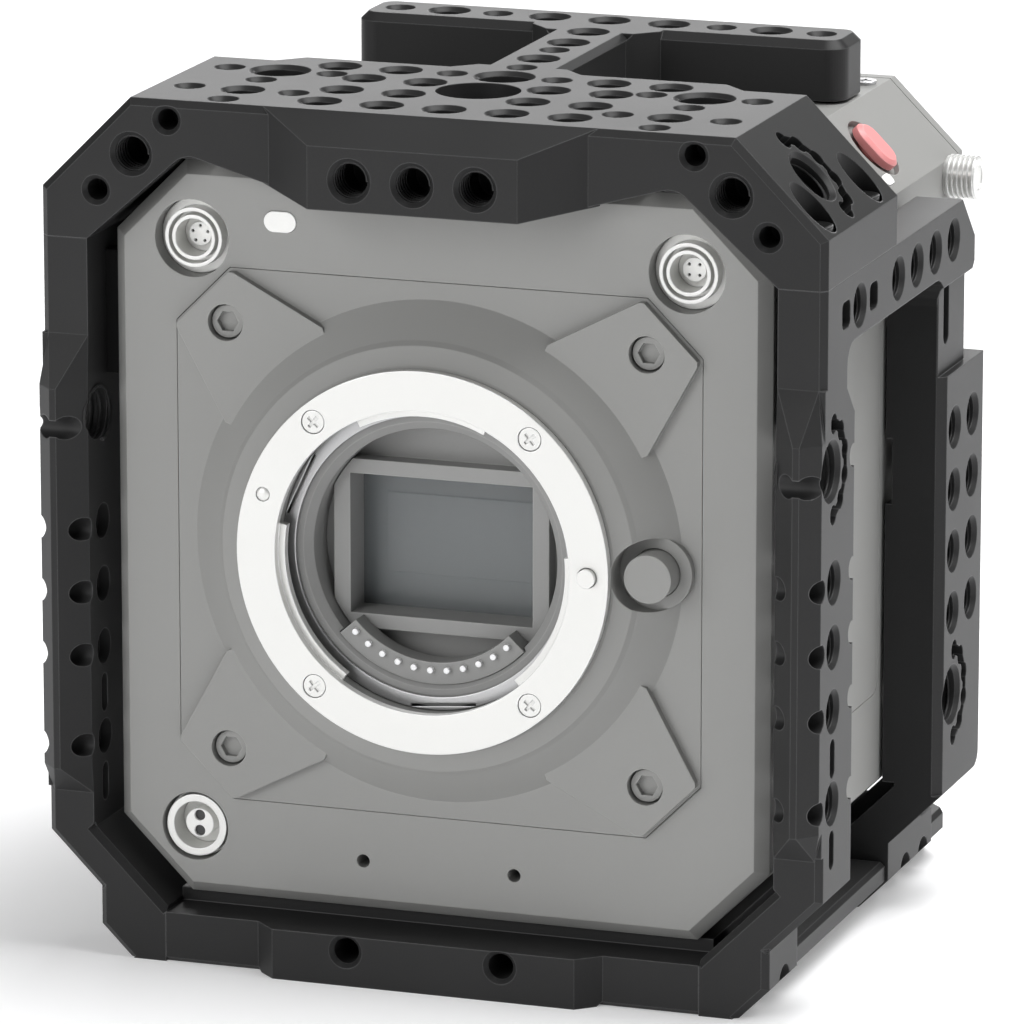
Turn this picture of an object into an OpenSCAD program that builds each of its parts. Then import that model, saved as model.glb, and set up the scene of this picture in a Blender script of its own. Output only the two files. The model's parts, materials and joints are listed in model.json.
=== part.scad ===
// Cinema camera in a machined cage. Millimetres, +Z up, the lens side faces -Y.
// Every piece is drawn in the optical frame: X and Z are zero on the lens axis and
// Y is zero on the lens seat. placed() then stands the model on its base.

/* [Camera body] */
// Width of the camera body
body_w = 120; // [118:1:150]
// Height of the camera body
body_h = 132; // [128:1:165]
// Depth of the camera body, front face to rear cover
body_d = 117.4; // [112:0.1:150]
// Leg of the 45 degree chamfer along the body's four long edges
body_chamfer = 13; // [10:0.5:15]
// Thickness of the body shell
body_wall = 3.5; // [2.5:0.1:4.5]
// Thickness of the rear cover
rear_t = 4; // [3:0.1:6]
// Distance from the lens seat back to the body's front face
front_inset = 8.6; // [7.5:0.1:10]
// Bevel round the body's front face
face_bevel = 2.2; // [1:0.1:3]

/* [Lens mount] */
// Clear throat of the bayonet ring
throat_d = 54; // [45:0.5:58]
// Width of the bayonet ring's face
ring_w = 7; // [6:0.1:8]
// Thickness of the bayonet ring
ring_t = 1.6; // [1.4:0.1:2.4]
// Distance from the lens seat to the sensor
flange_depth = 20; // [19:0.5:24]
// Travel of the lens lock pin and its release button
lock_travel = 1.5; // [1:0.1:1.8]

/* [Cage] */
// Distance from the camera's side faces to the outside of the cage
cage_border = 11.5; // [11:0.1:14]
// Thickness of the deck and the side posts
plate_t = 9.1; // [8:0.1:10]
// How far the cage's front frame stands in front of the body's face
frame_lead = 4.9; // [4.5:0.1:6]
// Leg of the cage's upper corner chamfer
cage_chamfer = 16.6; // [14:0.1:18]
// Length of the top deck along its sides
deck_d = 41.3; // [38:0.1:48]
// Distance from the frame's front to the rear crossbar
bar_back = 90.3; // [84:0.1:100]
// Depth of the rear crossbar
bar_d = 14.5; // [12:0.1:18]
// Half width of the rear crossbar
bar_half = 46.5; // [38:0.5:52]
// Distance from the frame's front to the rear side of the window
window_back = 72.3; // [66:0.1:80]
// Length of the base plate
base_d = 114.3; // [108:0.1:130]

/* [Threads and holes] */
// Diameter of the quarter inch tapped holes
tap_d = 6.35; // [5:0.05:6.5]
// Diameter of the three eighths inch tapped holes
big_tap_d = 9.53; // [8:0.01:9.6]
// Diameter of the small pin holes
pin_d = 4.1; // [3:0.1:4.5]
// Distance between neighbouring tapped holes
pitch = 11.4; // [11:0.1:12]
// Countersink on the tapped holes
sink = 0.8; // [0.3:0.1:1]

/* [Controls] */
// Diameter of the record button
record_d = 10; // [8:0.1:12]
// Travel of the record button
record_travel = 0.8; // [0.4:0.1:1]
// Travel of the menu keys
key_travel = 0.6; // [0.3:0.1:0.8]
// Clearance of a moving piece in its guide
slide_gap = 0.15; // [0.1:0.01:0.3]

/* [Hidden] */
$fn = 48;

eps = 0.02;

// Overall places that the pieces share.
body_x = body_w / 2;
body_z = body_h / 2;
face_y = front_inset;
rear_y = front_inset + body_d;
shell_y1 = rear_y - rear_t;
cage_x = body_x + cage_border;
cage_z = body_z + cage_border;
frame_y = face_y - frame_lead;
frame_in_x = cage_x - plate_t + 0.5;
deck_gap = 0.6;
deck_z = body_z + deck_gap;
seam_z = cage_z - 25.3;
deck_y1 = frame_y + deck_d;
deck_mid_y1 = deck_y1 + 4.5;
bar_y0 = frame_y + bar_back;
bar_y1 = bar_y0 + bar_d;
block_y = frame_y - 7.9;
block_x = 19;
block_base_x = 30.5;
lip_y1 = face_y - 0.4;
win_y1 = frame_y + window_back;
rail_z = seam_z - 11.6;
post_y1 = frame_y + 17.1;
post_top_y1 = frame_y + 12.5;
foot_x = cage_x - 9.5;
knee_z = cage_z - 22;
seam_x = foot_x - 12.5;
base_y1 = frame_y + base_d;
base_lip_z = -(body_z + 2.4);
edge_bevel = 1.2;
battery_d = 9;
mid_y = (block_y + rear_y + battery_d) / 2;

// Lens mount sizes.
throat_r = throat_d / 2;
ring_r = throat_r + ring_w;
ring_screw_r = throat_r + ring_w * 0.54;
ring_screw_angles = [50, 130, 230, 310];
shim_t = 0.2;
seat_y = ring_t + shim_t;
boss_base_r = ring_r + 10.8;
boss_step_r = ring_r + 4.6;
plate_half_x = body_x - 11.8;
plate_half_z = body_z - 18.1;
plate_chamfer = 10;
plate_y1 = face_y + 2.6;
front_wall_y1 = face_y + 5;
plate_screw_x = plate_half_x - 9.7;
plate_screw_z = plate_half_z - 9.6;
release_x = ring_r + 6.3;
lock_x = throat_r + 3.2;
pocket_x = plate_half_x - 5;
pocket_z = plate_half_z - 8;

// Camera inside.
inner_x = body_x - body_wall;
inner_z = body_z - body_wall;
sensor_board_y = flange_depth + 3;
board_t = 1.6;
sink_y0 = sensor_board_y + board_t;
sink_y1 = sink_y0 + 20.8;
fan_y1 = sink_y1 + 15;
main_board_y = fan_y1 + 6;
power_board_y = main_board_y + 26;
spacer_x = 44;
spacer_z = 34;

// Front connectors: place, shell diameter, pin count.
conn_x = body_x - 14.8;
conn_z = body_z - 13.5;
conn_low_z = body_z - 12.4;
conn_recess_d = [13.8, 13.8, 12.4];
conn_rim_y = front_inset + 0.7;
conn_flange_y = front_inset + 3.4;
conn_insert_y = [front_inset + 4, front_inset + 4, front_inset + 2.2];
conn_insert_r = [2.1, 2.1, 2.6];

// Controls on the upper right chamfer and on the left side.
record_y = rear_y - 35.6;
record_top = -1.2;
antenna_y = rear_y - 10;
antenna_z = body_z - 16;
panel_y0 = frame_y + 20;
panel_y1 = win_y1 - 7;
panel_z0 = -30;
panel_z1 = rail_z - 4;
panel_t = 2;
key_y = [panel_y0 + 12, panel_y1 - 12];
key_z = [panel_z0 + 10, panel_z0 + 24];
key_r = 3.6;
door_y0 = panel_y0 + 1;
door_y1 = panel_y1 - 1;
door_z1 = panel_z0 - 6;
door_z0 = -(body_z - body_chamfer) + 1.4;
door_t = 2.4;
door_pin_z = door_z0 + 1.6;
door_pin_x = -(body_x - 1.3);

// Shared drawing helpers -------------------------------------------------

module placed() { translate([0, -mid_y, cage_z]) children(); }

// Extrude a drawing of X and Z along Y.
module along_y(y0, y1) {
    translate([0, y1, 0]) rotate([90, 0, 0]) linear_extrude(y1 - y0) children();
}

// Extrude a drawing of Y and Z along X.
module along_x(x0, x1) {
    translate([x0, 0, 0]) rotate([90, 0, 90]) linear_extrude(x1 - x0) children();
}

module along_z(z0, z1) { translate([0, 0, z0]) linear_extrude(z1 - z0) children(); }

module rod_y(x, z, r, y0, y1) {
    translate([x, y1, z]) rotate([90, 0, 0]) cylinder(r = r, h = y1 - y0);
}

module rod_x(y, z, r, x0, x1) {
    translate([x0, y, z]) rotate([0, 90, 0]) cylinder(r = r, h = x1 - x0);
}

module rod_z(x, y, r, z0, z1) { translate([x, y, z0]) cylinder(r = r, h = z1 - z0); }

module block(x0, x1, y0, y1, z0, z1) {
    translate([x0, y0, z0]) cube([x1 - x0, y1 - y0, z1 - z0]);
}

// Eight-sided outline with 45 degree corners.
function octagon(hx, hz, c) = [[hx, hz - c], [hx - c, hz], [c - hx, hz], [-hx, hz - c],
    [-hx, c - hz], [c - hx, -hz], [hx - c, -hz], [hx, c - hz]];

// The same outline moved in by d.
function octagon_in(hx, hz, c, d) = octagon(hx - d, hz - d, c - d * (2 - sqrt(2)));

function arc(cx, cy, r, a0, a1, n) = [for (i = [0:n])
    let (a = a0 + (a1 - a0) * i / n) [cx + r * cos(a), cy + r * sin(a)]];

module slot_shape(w, h) {
    r = min(w, h) / 2;
    for (s = [-1, 1])
        translate([s * (w / 2 - r), s * (h / 2 - r)]) circle(r = r);
    square([w > h ? w - 2 * r : w, w > h ? h : h - 2 * r], center = true);
}

module round_rect(w, h, r) {
    square([w - 2 * r, h], center = true);
    square([w, h - 2 * r], center = true);
    for (x = [-1, 1], y = [-1, 1])
        translate([x * (w / 2 - r), y * (h / 2 - r)]) circle(r = r);
}

// Holes are cut at a surface whose outward direction is local +Z.
module tapped(d, depth) {
    translate([0, 0, -depth]) cylinder(d = d, h = depth + 1);
    translate([0, 0, -sink]) cylinder(d1 = d, d2 = d + 2 * (sink + eps), h = sink + eps);
}

module counterbore(d, head_d, head_depth, depth) {
    translate([0, 0, -depth]) cylinder(d = d, h = depth);
    translate([0, 0, -head_depth]) cylinder(d = head_d, h = head_depth + 20);
}

module on_front(x, z, y = frame_y) { translate([x, y, z]) rotate([90, 0, 0]) children(); }
module on_top(x, y, z = cage_z) { translate([x, y, z]) children(); }
module on_side(y, z, x = cage_x) { translate([x, y, z]) rotate([0, 90, 0]) children(); }
module on_left(y, z, x) { translate([-x, y, z]) rotate([0, -90, 0]) children(); }
module on_base(x, y) { translate([x, y, -cage_z]) rotate([180, 0, 0]) children(); }
module on_chamfer(y, along) {
    translate([cage_x - cage_chamfer / 2 + along, y, cage_z - cage_chamfer / 2 - along])
        rotate([0, 45, 0]) children();
}

// Curved key track beside a large tapped hole, with pockets for locating pins.
module pin_track() {
    track_r = 8.1;
    track_w = 2;
    depth = 1.8;
    translate([0, 0, -depth]) intersection() {
        difference() {
            cylinder(r = track_r + track_w / 2, h = depth + 1);
            translate([0, 0, -1]) cylinder(r = track_r - track_w / 2, h = depth + 3);
        }
        translate([-10, 0, -1]) cube([20, 10, depth + 3]);
    }
    for (a = [10:32:170]) rotate(a) translate([track_r, 0, -2 * depth])
        cylinder(d = 3.6, h = 2 * depth + 1);
}

// A square bar laid on an edge at 45 degrees cuts a bevel of b.
module bevel_xz(p, q, y, b = edge_bevel) {
    d = q - p;
    translate([p[0], y, p[1]]) rotate([0, -atan2(d[1], d[0]), 0])
        translate([-b / 2, 0, 0]) rotate([45, 0, 0])
            translate([0, -b * sqrt(2) / 2, -b * sqrt(2) / 2])
                cube([norm(d) + b, b * sqrt(2), b * sqrt(2)]);
}

module bevel_z(x, y, z0, z1, b = edge_bevel) {
    translate([x, y, z0]) rotate(45)
        translate([-b * sqrt(2) / 2, -b * sqrt(2) / 2, 0])
            cube([b * sqrt(2), b * sqrt(2), z1 - z0]);
}

module bevel_y(x, z, y0, y1, b = edge_bevel) {
    translate([x, y0, z]) rotate([0, 45, 0])
        translate([-b * sqrt(2) / 2, 0, -b * sqrt(2) / 2])
            cube([b * sqrt(2), y1 - y0, b * sqrt(2)]);
}

module bevel_x(y, z, x0, x1, b = edge_bevel) {
    translate([x0, y, z]) rotate([45, 0, 0])
        translate([0, -b * sqrt(2) / 2, -b * sqrt(2) / 2])
            cube([x1 - x0, b * sqrt(2), b * sqrt(2)]);
}

// Cap screw with a hexagon socket: head top at the origin, shank down local -Z.
module cap_screw(d, head_d, head_h, length, socket = 0) {
    socket_d = socket > 0 ? socket : d * 0.9;
    difference() {
        union() {
            translate([0, 0, -head_h]) cylinder(d = head_d, h = head_h);
            translate([0, 0, -length]) cylinder(d = d, h = length - head_h + eps);
        }
        translate([0, 0, -head_h * 0.6]) cylinder(d = socket_d, h = head_h, $fn = 6);
    }
}

// Flat head screw with a cross recess.
module cross_screw(d, head_d, head_h, length) {
    difference() {
        union() {
            translate([0, 0, -head_h]) cylinder(d = head_d, h = head_h);
            translate([0, 0, -length]) cylinder(d = d, h = length - head_h + eps);
        }
        for (a = [0, 90]) rotate(a) translate([-head_d * 0.3, -head_d * 0.07, -head_h * 0.5])
            cube([head_d * 0.6, head_d * 0.14, head_h]);
    }
}

// Cage -------------------------------------------------------------------

black = [0.16, 0.16, 0.17];
body_grey = [0.62, 0.62, 0.61];
dark_grey = [0.33, 0.33, 0.33];
bright = [0.9, 0.9, 0.88];
board_green = [0.1, 0.35, 0.2];

// Outer upper outline of the cage, from one seam to the other.
function arch_outer() = [[cage_x, seam_z], [cage_x, cage_z - cage_chamfer],
    [cage_x - cage_chamfer, cage_z], [cage_chamfer - cage_x, cage_z],
    [-cage_x, cage_z - cage_chamfer], [-cage_x, seam_z]];

corner_sum = frame_in_x + seam_z;

// Underside of the front lip: it dips in the middle below the centre block.
lip_z = body_z - 4.1;
function lip_half() = concat([[frame_in_x, seam_z]],
    arc(corner_sum - body_z - 5.5, body_z - 2.3, 4.2, 45, 105, 6),
    [[block_base_x - 1.5, body_z - 2], [block_x, lip_z]]);

function mirrored(p) = [for (i = [len(p) - 1:-1:0]) [-p[i][0], p[i][1]]];

module centre_block() {
    hull() {
        block(-block_x, block_x, block_y, block_y + eps, lip_z, cage_z - 4.5);
        block(-block_base_x, block_base_x, frame_y + edge_bevel, frame_y + 2,
            body_z - 2, cage_z);
        block(-block_x, block_x, frame_y + edge_bevel, frame_y + 2, lip_z, cage_z);
    }
}

module arch_lip() {
    inner = lip_half();
    backwards = [for (i = [len(inner) - 1:-1:0]) inner[i]];
    along_y(frame_y, lip_y1) polygon(concat(arch_outer(), mirrored(backwards), backwards));
}

module arch_deck() {
    along_y(lip_y1 - eps, deck_y1) polygon(concat(arch_outer(),
        [[-frame_in_x, seam_z], [deck_z - corner_sum, deck_z],
            [corner_sum - deck_z, deck_z], [frame_in_x, seam_z]]));
    along_z(deck_z, cage_z) polygon([[39, deck_mid_y1], [-39, deck_mid_y1],
        [-43.5, deck_y1 - eps], [43.5, deck_y1 - eps]]);
}

// The outer shape of the cage with its front edges bevelled.
module arch_envelope() {
    hull() {
        along_y(frame_y, frame_y + eps)
            polygon(octagon_in(cage_x, cage_z, cage_chamfer, edge_bevel));
        along_y(frame_y + edge_bevel, bar_y1) polygon(octagon(cage_x, cage_z, cage_chamfer));
    }
}

spine_x = 7.2;
module spine() {
    g = 5;
    along_z(deck_z, cage_z) polygon([[-spine_x - g, deck_mid_y1 - 1], [-spine_x - g, deck_mid_y1],
        [-spine_x, deck_mid_y1 + g], [-spine_x, bar_y0 - g], [-spine_x - g, bar_y0],
        [-spine_x - g, bar_y0 + 2], [spine_x + g, bar_y0 + 2], [spine_x + g, bar_y0],
        [spine_x, bar_y0 - g], [spine_x, deck_mid_y1 + g], [spine_x + g, deck_mid_y1],
        [spine_x + g, deck_mid_y1 - 1]]);
}

module crossbar() {
    r = 4;
    b = 1.5;
    hull() {
        for (x = [-1, 1], y = [bar_y0 + r, bar_y1 - r]) {
            rod_z(x * (bar_half - r), y, r, deck_z, cage_z - b);
            rod_z(x * (bar_half - r), y, r - b, cage_z - b, cage_z);
        }
    }
}

row_y = [frame_y + 8.5, frame_y + 19.5, frame_y + 30.6];
last_row_y = frame_y + 39.9;
top_fix_y = frame_y + 26.2;
join_x = cage_x - 4.5;
join_y = [frame_y + 6.3, frame_y + 33.3];
chamfer_hole_y = frame_y + 16.3;

module deck_holes() {
    t = cage_z - deck_z + 1;
    for (i = [-2:2]) on_top(i * pitch, row_y[0]) tapped(tap_d, t);
    for (i = [-2, -1, 1, 2], y = [row_y[1], row_y[2]]) on_top(i * pitch, y) tapped(tap_d, t);
    for (s = [-1, 1]) {
        on_top(s * 39, frame_y + 13.8) tapped(tap_d, t);
        on_top(s * 19.3, last_row_y) tapped(tap_d, t);
        on_top(s * (19.3 + pitch), last_row_y) tapped(tap_d, t);
        on_top(s * 39.2, frame_y + 32.6) tapped(big_tap_d, t);
        for (p = [[39.2, 4.9], [29.6, 13.9], [49, 14.1], [39.3, 23.5], [29.5, 32.6],
                [48.7, 32.7], [9.7, 39.9]])
            on_top(s * p[0], frame_y + p[1]) tapped(pin_d, t);
    }
    on_top(0, last_row_y) tapped(big_tap_d, t);
    on_top(0, top_fix_y) counterbore(tap_d + 0.5, 15, 7.5, t);
}

module spine_holes() {
    t = cage_z - deck_z + 1;
    for (y = [12.3, 28.7, 39.8]) on_top(0, deck_mid_y1 + y) tapped(tap_d, t);
    for (y = [3.4, 21]) on_top(0, deck_mid_y1 + y) tapped(pin_d, t);
    bar_mid_y = (bar_y0 + bar_y1) / 2;
    for (x = [-2.7, -1, 0, 1, 2.7]) on_top(x * pitch, bar_mid_y) tapped(tap_d, t);
    for (x = [-21.4, 21.4, -40.3, 40.3]) on_top(x, bar_mid_y) tapped(pin_d, t);
}

module front_holes() {
    for (i = [-1:1]) on_front(i * pitch, cage_z - 10.2, block_y) tapped(tap_d, 11);
    for (s = [-1, 1]) {
        on_front(s * (cage_x - 17), cage_z - 9.8) tapped(tap_d, 12);
        on_front(s * (cage_x - 23.7), cage_z - 3.4) tapped(pin_d - 0.3, 8);
        on_front(s * (cage_x - 10.4), cage_z - 16.6) tapped(pin_d - 0.3, 8);
    }
}

module chamfer_holes() {
    on_chamfer(chamfer_hole_y, 0.6) tapped(big_tap_d, 11);
    on_chamfer(chamfer_hole_y, 0.6) pin_track();
    for (y = join_y) translate([join_x, y, seam_z + 6.3])
        counterbore(4.3, 8, 0, 20);
}

module cage_top_plate() {
    color(black) placed() difference() {
        union() {
            intersection() {
                union() {
                    arch_lip();
                    arch_deck();
                }
                arch_envelope();
            }
            centre_block();
            spine();
            crossbar();
        }
        deck_holes();
        spine_holes();
        front_holes();
        chamfer_holes();
        mirror([1, 0, 0]) chamfer_holes();
        for (s = [-1, 1]) {
            bevel_y(s * spine_x, cage_z, deck_mid_y1 + 4, bar_y0 - 4);
        }
    }
}

// One side of the cage, drawn on the +X side.
leg_sum = seam_x + cage_z - 9.9;
web_sum = body_x + body_z - body_chamfer + 0.5;

function leg_outline(in_x, top) = [[in_x, top], [cage_x, top], [cage_x, -knee_z],
    [foot_x, -knee_z - cage_x + foot_x], [foot_x, 5.5 - cage_z], [foot_x - 5.5, -cage_z],
    [seam_x, -cage_z], [seam_x, seam_x - leg_sum], [in_x, in_x - leg_sum]];

rear_in_x = body_x + 0.7;
ridge_x = [cage_x - 4.3, cage_x - 3.1];
ridge_y = frame_y - 4.9;
ridge_z = [seam_z - 26.2, seam_z - 17.2, -(cage_z - 34.9), -(cage_z - 29.7)];
panel_top_z = seam_z - 30.5;
rear_post_y1 = win_y1 + 16.5;
panel_rear_y = win_y1 + 24.6;
rear_foot_y1 = win_y1 + 27.5;
side_row_y = frame_y + 5.75;
side_tap_z = [0.4, 0.4 - pitch, 0.4 - 2 * pitch, 0.4 - 3 * pitch - 5];
side_big_y = frame_y + 3.6;
side_big_z = 20.4;

module front_post() {
    r = 4;
    difference() {
        along_y(frame_y, post_y1) polygon(leg_outline(frame_in_x, seam_z));
        along_x(frame_in_x - 1, cage_x + 1) polygon(concat(
            [[post_y1 + 1, rail_z - 12.6], [post_y1, rail_z - 12.6], [post_top_y1, rail_z - 7.6]],
            [[post_top_y1, rail_z], [post_y1 + 1, rail_z]]));
    }
}

// The grip rib down the front of the post, with its two wide bevels.
module post_ridge() {
    hull() {
        block(frame_in_x, cage_x - edge_bevel, frame_y, frame_y + 1, ridge_z[3], ridge_z[1]);
        along_z(ridge_z[2], ridge_z[0]) polygon([[frame_in_x, frame_y + 1], [frame_in_x, frame_y - 0.5],
            [ridge_x[0], ridge_y], [ridge_x[1], ridge_y], [cage_x, frame_y - 1.7],
            [cage_x, frame_y + 1]]);
    }
}

module rail() {
    along_x(frame_in_x, cage_x) polygon(concat(
        [[post_y1 - 6, seam_z], [win_y1 + 10, seam_z], [win_y1 + 18, seam_z - 8],
            [win_y1 + 18, rail_z - 1], [win_y1 + 16.8, rail_z - 2.2],
            [win_y1, rail_z - 2.2], [win_y1, rail_z - 6]],
        arc(win_y1 - 6, rail_z - 6, 6, 0, 90, 6),
        arc(post_top_y1 + 4, rail_z - 4, 4, 90, 180, 4),
        [[post_top_y1 - 3, rail_z - 4]]));
}

module rear_post() {
    along_y(win_y1, rear_post_y1)
        polygon([[rear_in_x, rail_z + 4], [cage_x - 1.4, rail_z + 4],
            [cage_x - 1.4, panel_top_z - 1], [rear_in_x, panel_top_z - 1]]);
    along_y(win_y1, rear_post_y1) polygon([[rear_in_x, panel_top_z], [cage_x, panel_top_z],
        [cage_x, -knee_z + 2], [rear_in_x, -knee_z + 2]]);
    along_x(cage_x - 5, cage_x) polygon(concat([[win_y1 + 2, panel_top_z],
        [win_y1 + 2, -knee_z]],
        arc(panel_rear_y - 3, -knee_z + 3, 3, -90, 0, 5),
        [[panel_rear_y, panel_top_z]]));
    along_y(win_y1, rear_post_y1 + 4) polygon(leg_outline(frame_in_x, -knee_z + 2));
    // Web that fills the corner below the camera's side.
    along_y(win_y1 + 5, rear_post_y1 + 4) polygon([[frame_in_x, frame_in_x - leg_sum - 1],
        [frame_in_x, frame_in_x - web_sum], [seam_x, seam_x - web_sum], [seam_x, seam_x - leg_sum - 1]]);
    along_y(win_y1, rear_foot_y1) polygon([[foot_x, -(cage_z - 12)], [foot_x, 5.5 - cage_z],
        [foot_x - 5.5, -cage_z], [seam_x, -cage_z], [seam_x, -(cage_z - 12)]]);
}

module side_cuts() {
    for (z = side_tap_z) {
        on_side(side_row_y, z) tapped(tap_d, 12);
        rod_x(frame_y - 1.3, z, pin_d / 2, frame_in_x - 2, cage_x + 2);
        rod_x(post_y1 - 0.6, z, pin_d / 2, frame_in_x - 2, cage_x + 2);
    }
    on_side(side_big_y, side_big_z) tapped(big_tap_d, 12);
    on_side(side_big_y, side_big_z) pin_track();
    rod_x(post_y1 - 0.6, side_big_z, pin_d / 2, frame_in_x - 2, cage_x + 2);
    rod_x(frame_y - 3.4, side_big_z - 1.5, pin_d / 2, frame_in_x - 2, cage_x + 2);
    for (z = [side_tap_z[2] - 8.4, side_tap_z[3] - 8.3])
        along_x(frame_in_x - 1, cage_x + 1) translate([side_row_y, z]) slot_shape(2.8, 7);
    for (i = [0:3]) on_side(win_y1 - 29.7 + i * pitch, rail_z + 5.4) tapped(tap_d, 12);
    on_side(frame_y + 19.6, rail_z + 5.4) tapped(tap_d, 12);
    for (y = [frame_y + 11.5, frame_y + 27.7]) along_x(frame_in_x - 1, cage_x + 1)
        translate([y, rail_z + 5.4]) round_rect(4.8, 4.8, 1.2);
    along_x(rear_in_x - 1, cage_x + 1) translate([win_y1 + 5, rail_z - 8]) slot_shape(3.4, 11.5);
    for (i = [0:3], y = [win_y1 + 6.7, win_y1 + 6.7 + pitch])
        on_side(y, pitch * (1 - i)) tapped(tap_d, 12);
    on_side(win_y1 + 6.7, -38) tapped(big_tap_d, 12);
    on_side(win_y1 + 6.7, -38) pin_track();
    for (y = foot_screw_y) on_side(y, foot_screw_z, foot_x) counterbore(3.3, 6.4, 7.5, 20);
}

foot_screw_z = 4.6 - cage_z;
foot_screw_y = [frame_y + 9.8, win_y1 + 10.9, win_y1 + 22.1];

module side_plate() {
    difference() {
        union() {
            front_post();
            post_ridge();
            rail();
            rear_post();
        }
        side_cuts();
        block(rear_in_x - 1, rear_in_x + 1.2, win_y1 - 1, win_y1 + 6, -2, 10);
        for (y = join_y) on_top(join_x, y, seam_z) tapped(4, 9);
        bevel_z(cage_x, frame_y, ridge_z[1], seam_z + 1);
        bevel_xz([cage_x, ridge_z[3]], [cage_x, -knee_z], frame_y);
        bevel_xz([cage_x, -knee_z], [foot_x, -knee_z - cage_x + foot_x], frame_y);
        bevel_xz([foot_x, -knee_z - cage_x + foot_x], [foot_x, 5.5 - cage_z], frame_y);
        bevel_xz([foot_x, 5.5 - cage_z], [foot_x - 5.5, -cage_z], frame_y);
        bevel_xz([frame_in_x, frame_in_x - leg_sum], [seam_x, seam_x - leg_sum], frame_y);
        bevel_z(cage_x, win_y1, -knee_z, rail_z - 2.2, 1.6);
    }
}

module cage_side_right() { color(black) placed() side_plate(); }
module cage_side_left() { color(black) placed() mirror([1, 0, 0]) side_plate(); }

module base_wing(y0, y1) {
    w = foot_x - 0.5;
    for (m = [0, 1]) mirror([m, 0, 0]) along_y(y0, y1) polygon([[seam_x - 1, base_lip_z],
        [w - 0.8, base_lip_z], [w, base_lip_z - 0.8], [w, 5.5 - cage_z],
        [w - 5.5, -cage_z], [seam_x - 1, -cage_z]]);
}

base_screw_y = [frame_y + 26, frame_y + 82];

module cage_base_plate() {
    x = seam_x;
    color(black) placed() difference() {
        union() {
            along_z(-cage_z, base_lip_z) polygon([[x, frame_y], [32, frame_y], [28, frame_y - 3.7],
                [-28, frame_y - 3.7], [-32, frame_y], [-x, frame_y], [-x, base_y1], [x, base_y1]]);
            block(-x, x, face_y + 3.4, base_y1 - 6, -cage_z + 1, -body_z);
            base_wing(post_y1 + 0.6, win_y1 - 0.6);
            base_wing(rear_foot_y1 + 0.6, base_y1);
        }
        for (s = [-1, 1]) {
            on_front(s * 14.3, -(cage_z - 6.3), frame_y - 3.7) tapped(pin_d + 0.5, 12);
            for (y = foot_screw_y) rod_x(y, foot_screw_z, 1.5, s > 0 ? x - 9 : -x - 1,
                s > 0 ? x + 1 : 9 - x);
            for (y = [40, 62.8]) on_base(s * 25, frame_y + y) tapped(tap_d, 14);
            translate([s * foot_x, base_y1, 0]) rotate(45)
                translate([-4, -4, -cage_z - 1]) cube([8, 8, 20]);
        }
        for (y = base_screw_y) on_base(0, y) counterbore(tap_d + 0.3, 13, 7, 16);
        on_base(0, frame_y + 51.4) tapped(big_tap_d, 14);
        for (y = [40, 62.8]) on_base(0, frame_y + y) tapped(tap_d, 14);
        bevel_xz([-x - 1, -cage_z], [x + 1, -cage_z], frame_y, 0.8);
        along_z(-cage_z - 1, -body_z + 1) for (s = [-1, 1])
            translate([s * 27, frame_y + 88]) round_rect(26, 22, 4);
    }
}

module cage_top_screws() {
    color("dimgray") placed() for (s = [-1, 1], y = join_y)
        translate([s * join_x, y, seam_z + 6.3 + 3.8]) cap_screw(3.9, 7, 3.8, 17);
}

module cage_base_screws() {
    color("dimgray") placed() for (s = [-1, 1], y = foot_screw_y)
        translate([s * (foot_x - 4.5), y, foot_screw_z]) rotate([0, s * 90, 0])
            cap_screw(2.9, 5.5, 3, 14.5);
}

module camera_clamp_screws() {
    color("silver") placed() for (y = base_screw_y)
        translate([0, y, -cage_z + 2]) rotate([180, 0, 0]) cap_screw(6.2, 11.5, 5, 15);
}

module top_fixing_screw() {
    color("silver") placed() translate([0, top_fix_y, cage_z - 3.5]) cap_screw(6.2, 11.5, 4, 14);
}

// Thin pads between the cage and the top of the camera.
pad_x = 6;
module cage_pads() {
    color("black") placed() {
        for (s = [-1, 1]) block(s > 0 ? body_x : -frame_in_x, s > 0 ? frame_in_x : -body_x,
            frame_y + 8.5, post_top_y1, rail_z - 14, rail_z + 8);
        block(-pad_x - 0.5, pad_x + 0.5, deck_y1 + 7, bar_y0 - 1.5, body_z, deck_z);
        block(-bar_half + 3, bar_half - 3, bar_y0 + 2, bar_y1 - 2, body_z, deck_z);
        difference() {
            block(-body_x + body_chamfer + 1, body_x - body_chamfer - 1, face_y + face_bevel + 0.3,
                deck_y1 - 1, body_z, deck_z);
            rod_z(0, top_fix_y, 4.5, body_z - 1, deck_z + 1);
        }
    }
}

// Camera body ------------------------------------------------------------

module body_prism(y0, y1, d = 0) {
    along_y(y0, y1) polygon(octagon_in(body_x, body_z, body_chamfer, d));
}

conn_places = [[-conn_x, conn_z], [conn_x, conn_z], [-conn_x - 0.4, -conn_low_z]];

module body_outer() {
    hull() {
        body_prism(face_y, face_y + eps, face_bevel);
        body_prism(face_y + face_bevel, shell_y1);
    }
}

// A frame for pieces that sit on the upper right chamfer of the body.
module on_body_chamfer(y) {
    c = body_chamfer / 2;
    translate([body_x - c, y, body_z - c]) rotate([0, 45, 0]) children();
}

collar_d = record_d + 2.6;

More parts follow.
